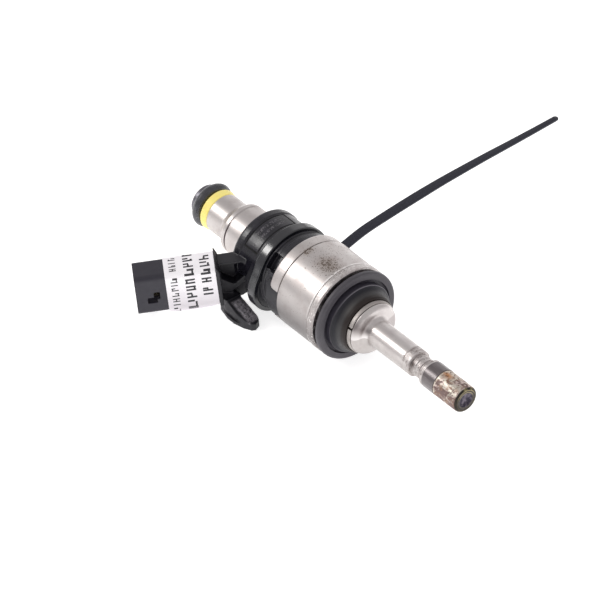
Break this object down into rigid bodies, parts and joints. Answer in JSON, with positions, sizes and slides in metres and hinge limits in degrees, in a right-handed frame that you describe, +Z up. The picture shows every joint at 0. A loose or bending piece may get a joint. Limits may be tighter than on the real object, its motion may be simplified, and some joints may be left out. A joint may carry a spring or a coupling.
{
  "type": "fuel injector",
  "caption": "Direct-injection fuel injector: inlet stem with seals, solenoid with side connector, support ring, long nozzle with lifting needle, and a cable tie round the body.",
  "frame": {"origin": "on the injector axis at the middle of the combustion seal", "axes": "+X along the injector axis towards the spray tip, +Z up as the part lies on its side, +Y away from the connector"},
  "size_m": [0.0875, 0.103, 0.021],
  "materials": {
    "steel": "satin",
    "housing_steel": "satin, lightly spotted",
    "bright_steel": "polished",
    "magnetic_steel": "machined",
    "spring_steel": "drawn wire",
    "stained_steel": "heat stained",
    "terminal_metal": "plated",
    "copper": "enamelled wire",
    "black_plastic": "glass-filled moulding",
    "bobbin_plastic": "matt",
    "ring_plastic": "satin moulding",
    "tie_plastic": "smooth",
    "seal_rubber": "satin",
    "backup_plastic": "smooth",
    "seal_sleeve": "smooth",
    "strainer_mesh": "fine mesh",
    "paper": "printed paper"
  },
  "bodies": {
    "body": {"inlet_tube": "steel", "inlet_oring": "seal_rubber", "backup_ring": "backup_plastic", "inlet_strainer": "strainer_mesh", "adjusting_sleeve": "steel", "closing_spring": "spring_steel", "pole_core": "magnetic_steel", "spacer_ring": "steel", "coil_bobbin": "bobbin_plastic", "coil_winding": "copper", "terminal_upper": "terminal_metal", "terminal_lower": "terminal_metal", "moulded_body": "black_plastic", "paper_label": "paper", "cable_tie": "tie_plastic", "cap_band": "housing_steel", "solenoid_housing": "housing_steel", "valve_body": "steel", "armature_spring": "spring_steel", "needle_guide": "steel", "valve_seat": "stained_steel", "combustion_seal": "seal_sleeve", "support_ring": "ring_plastic", "snap_ring": "bright_steel"},
    "armature": {"armature": "magnetic_steel"},
    "needle": {"needle": "bright_steel", "needle_stop": "steel", "lower_stop": "steel", "valve_ball": "bright_steel"}
  },
  "joints": [
    {"name": "armature_lift", "type": "slide", "parent": "body", "child": "armature", "axis": [-1, 0, 0], "range_m": [0, 0.00012], "stiffness_N_per_m": 200, "springref_m": -0.001, "deforming": ["armature_spring"]},
    {"name": "needle_lift", "type": "slide", "parent": "body", "child": "needle", "axis": [-1, 0, 0], "range_m": [0, 0.00008], "deforming": ["closing_spring"]}
  ],
  "couplings": [
    {"joint": "needle_lift", "follows": "armature_lift", "ratio": 0.6666}
  ]
}
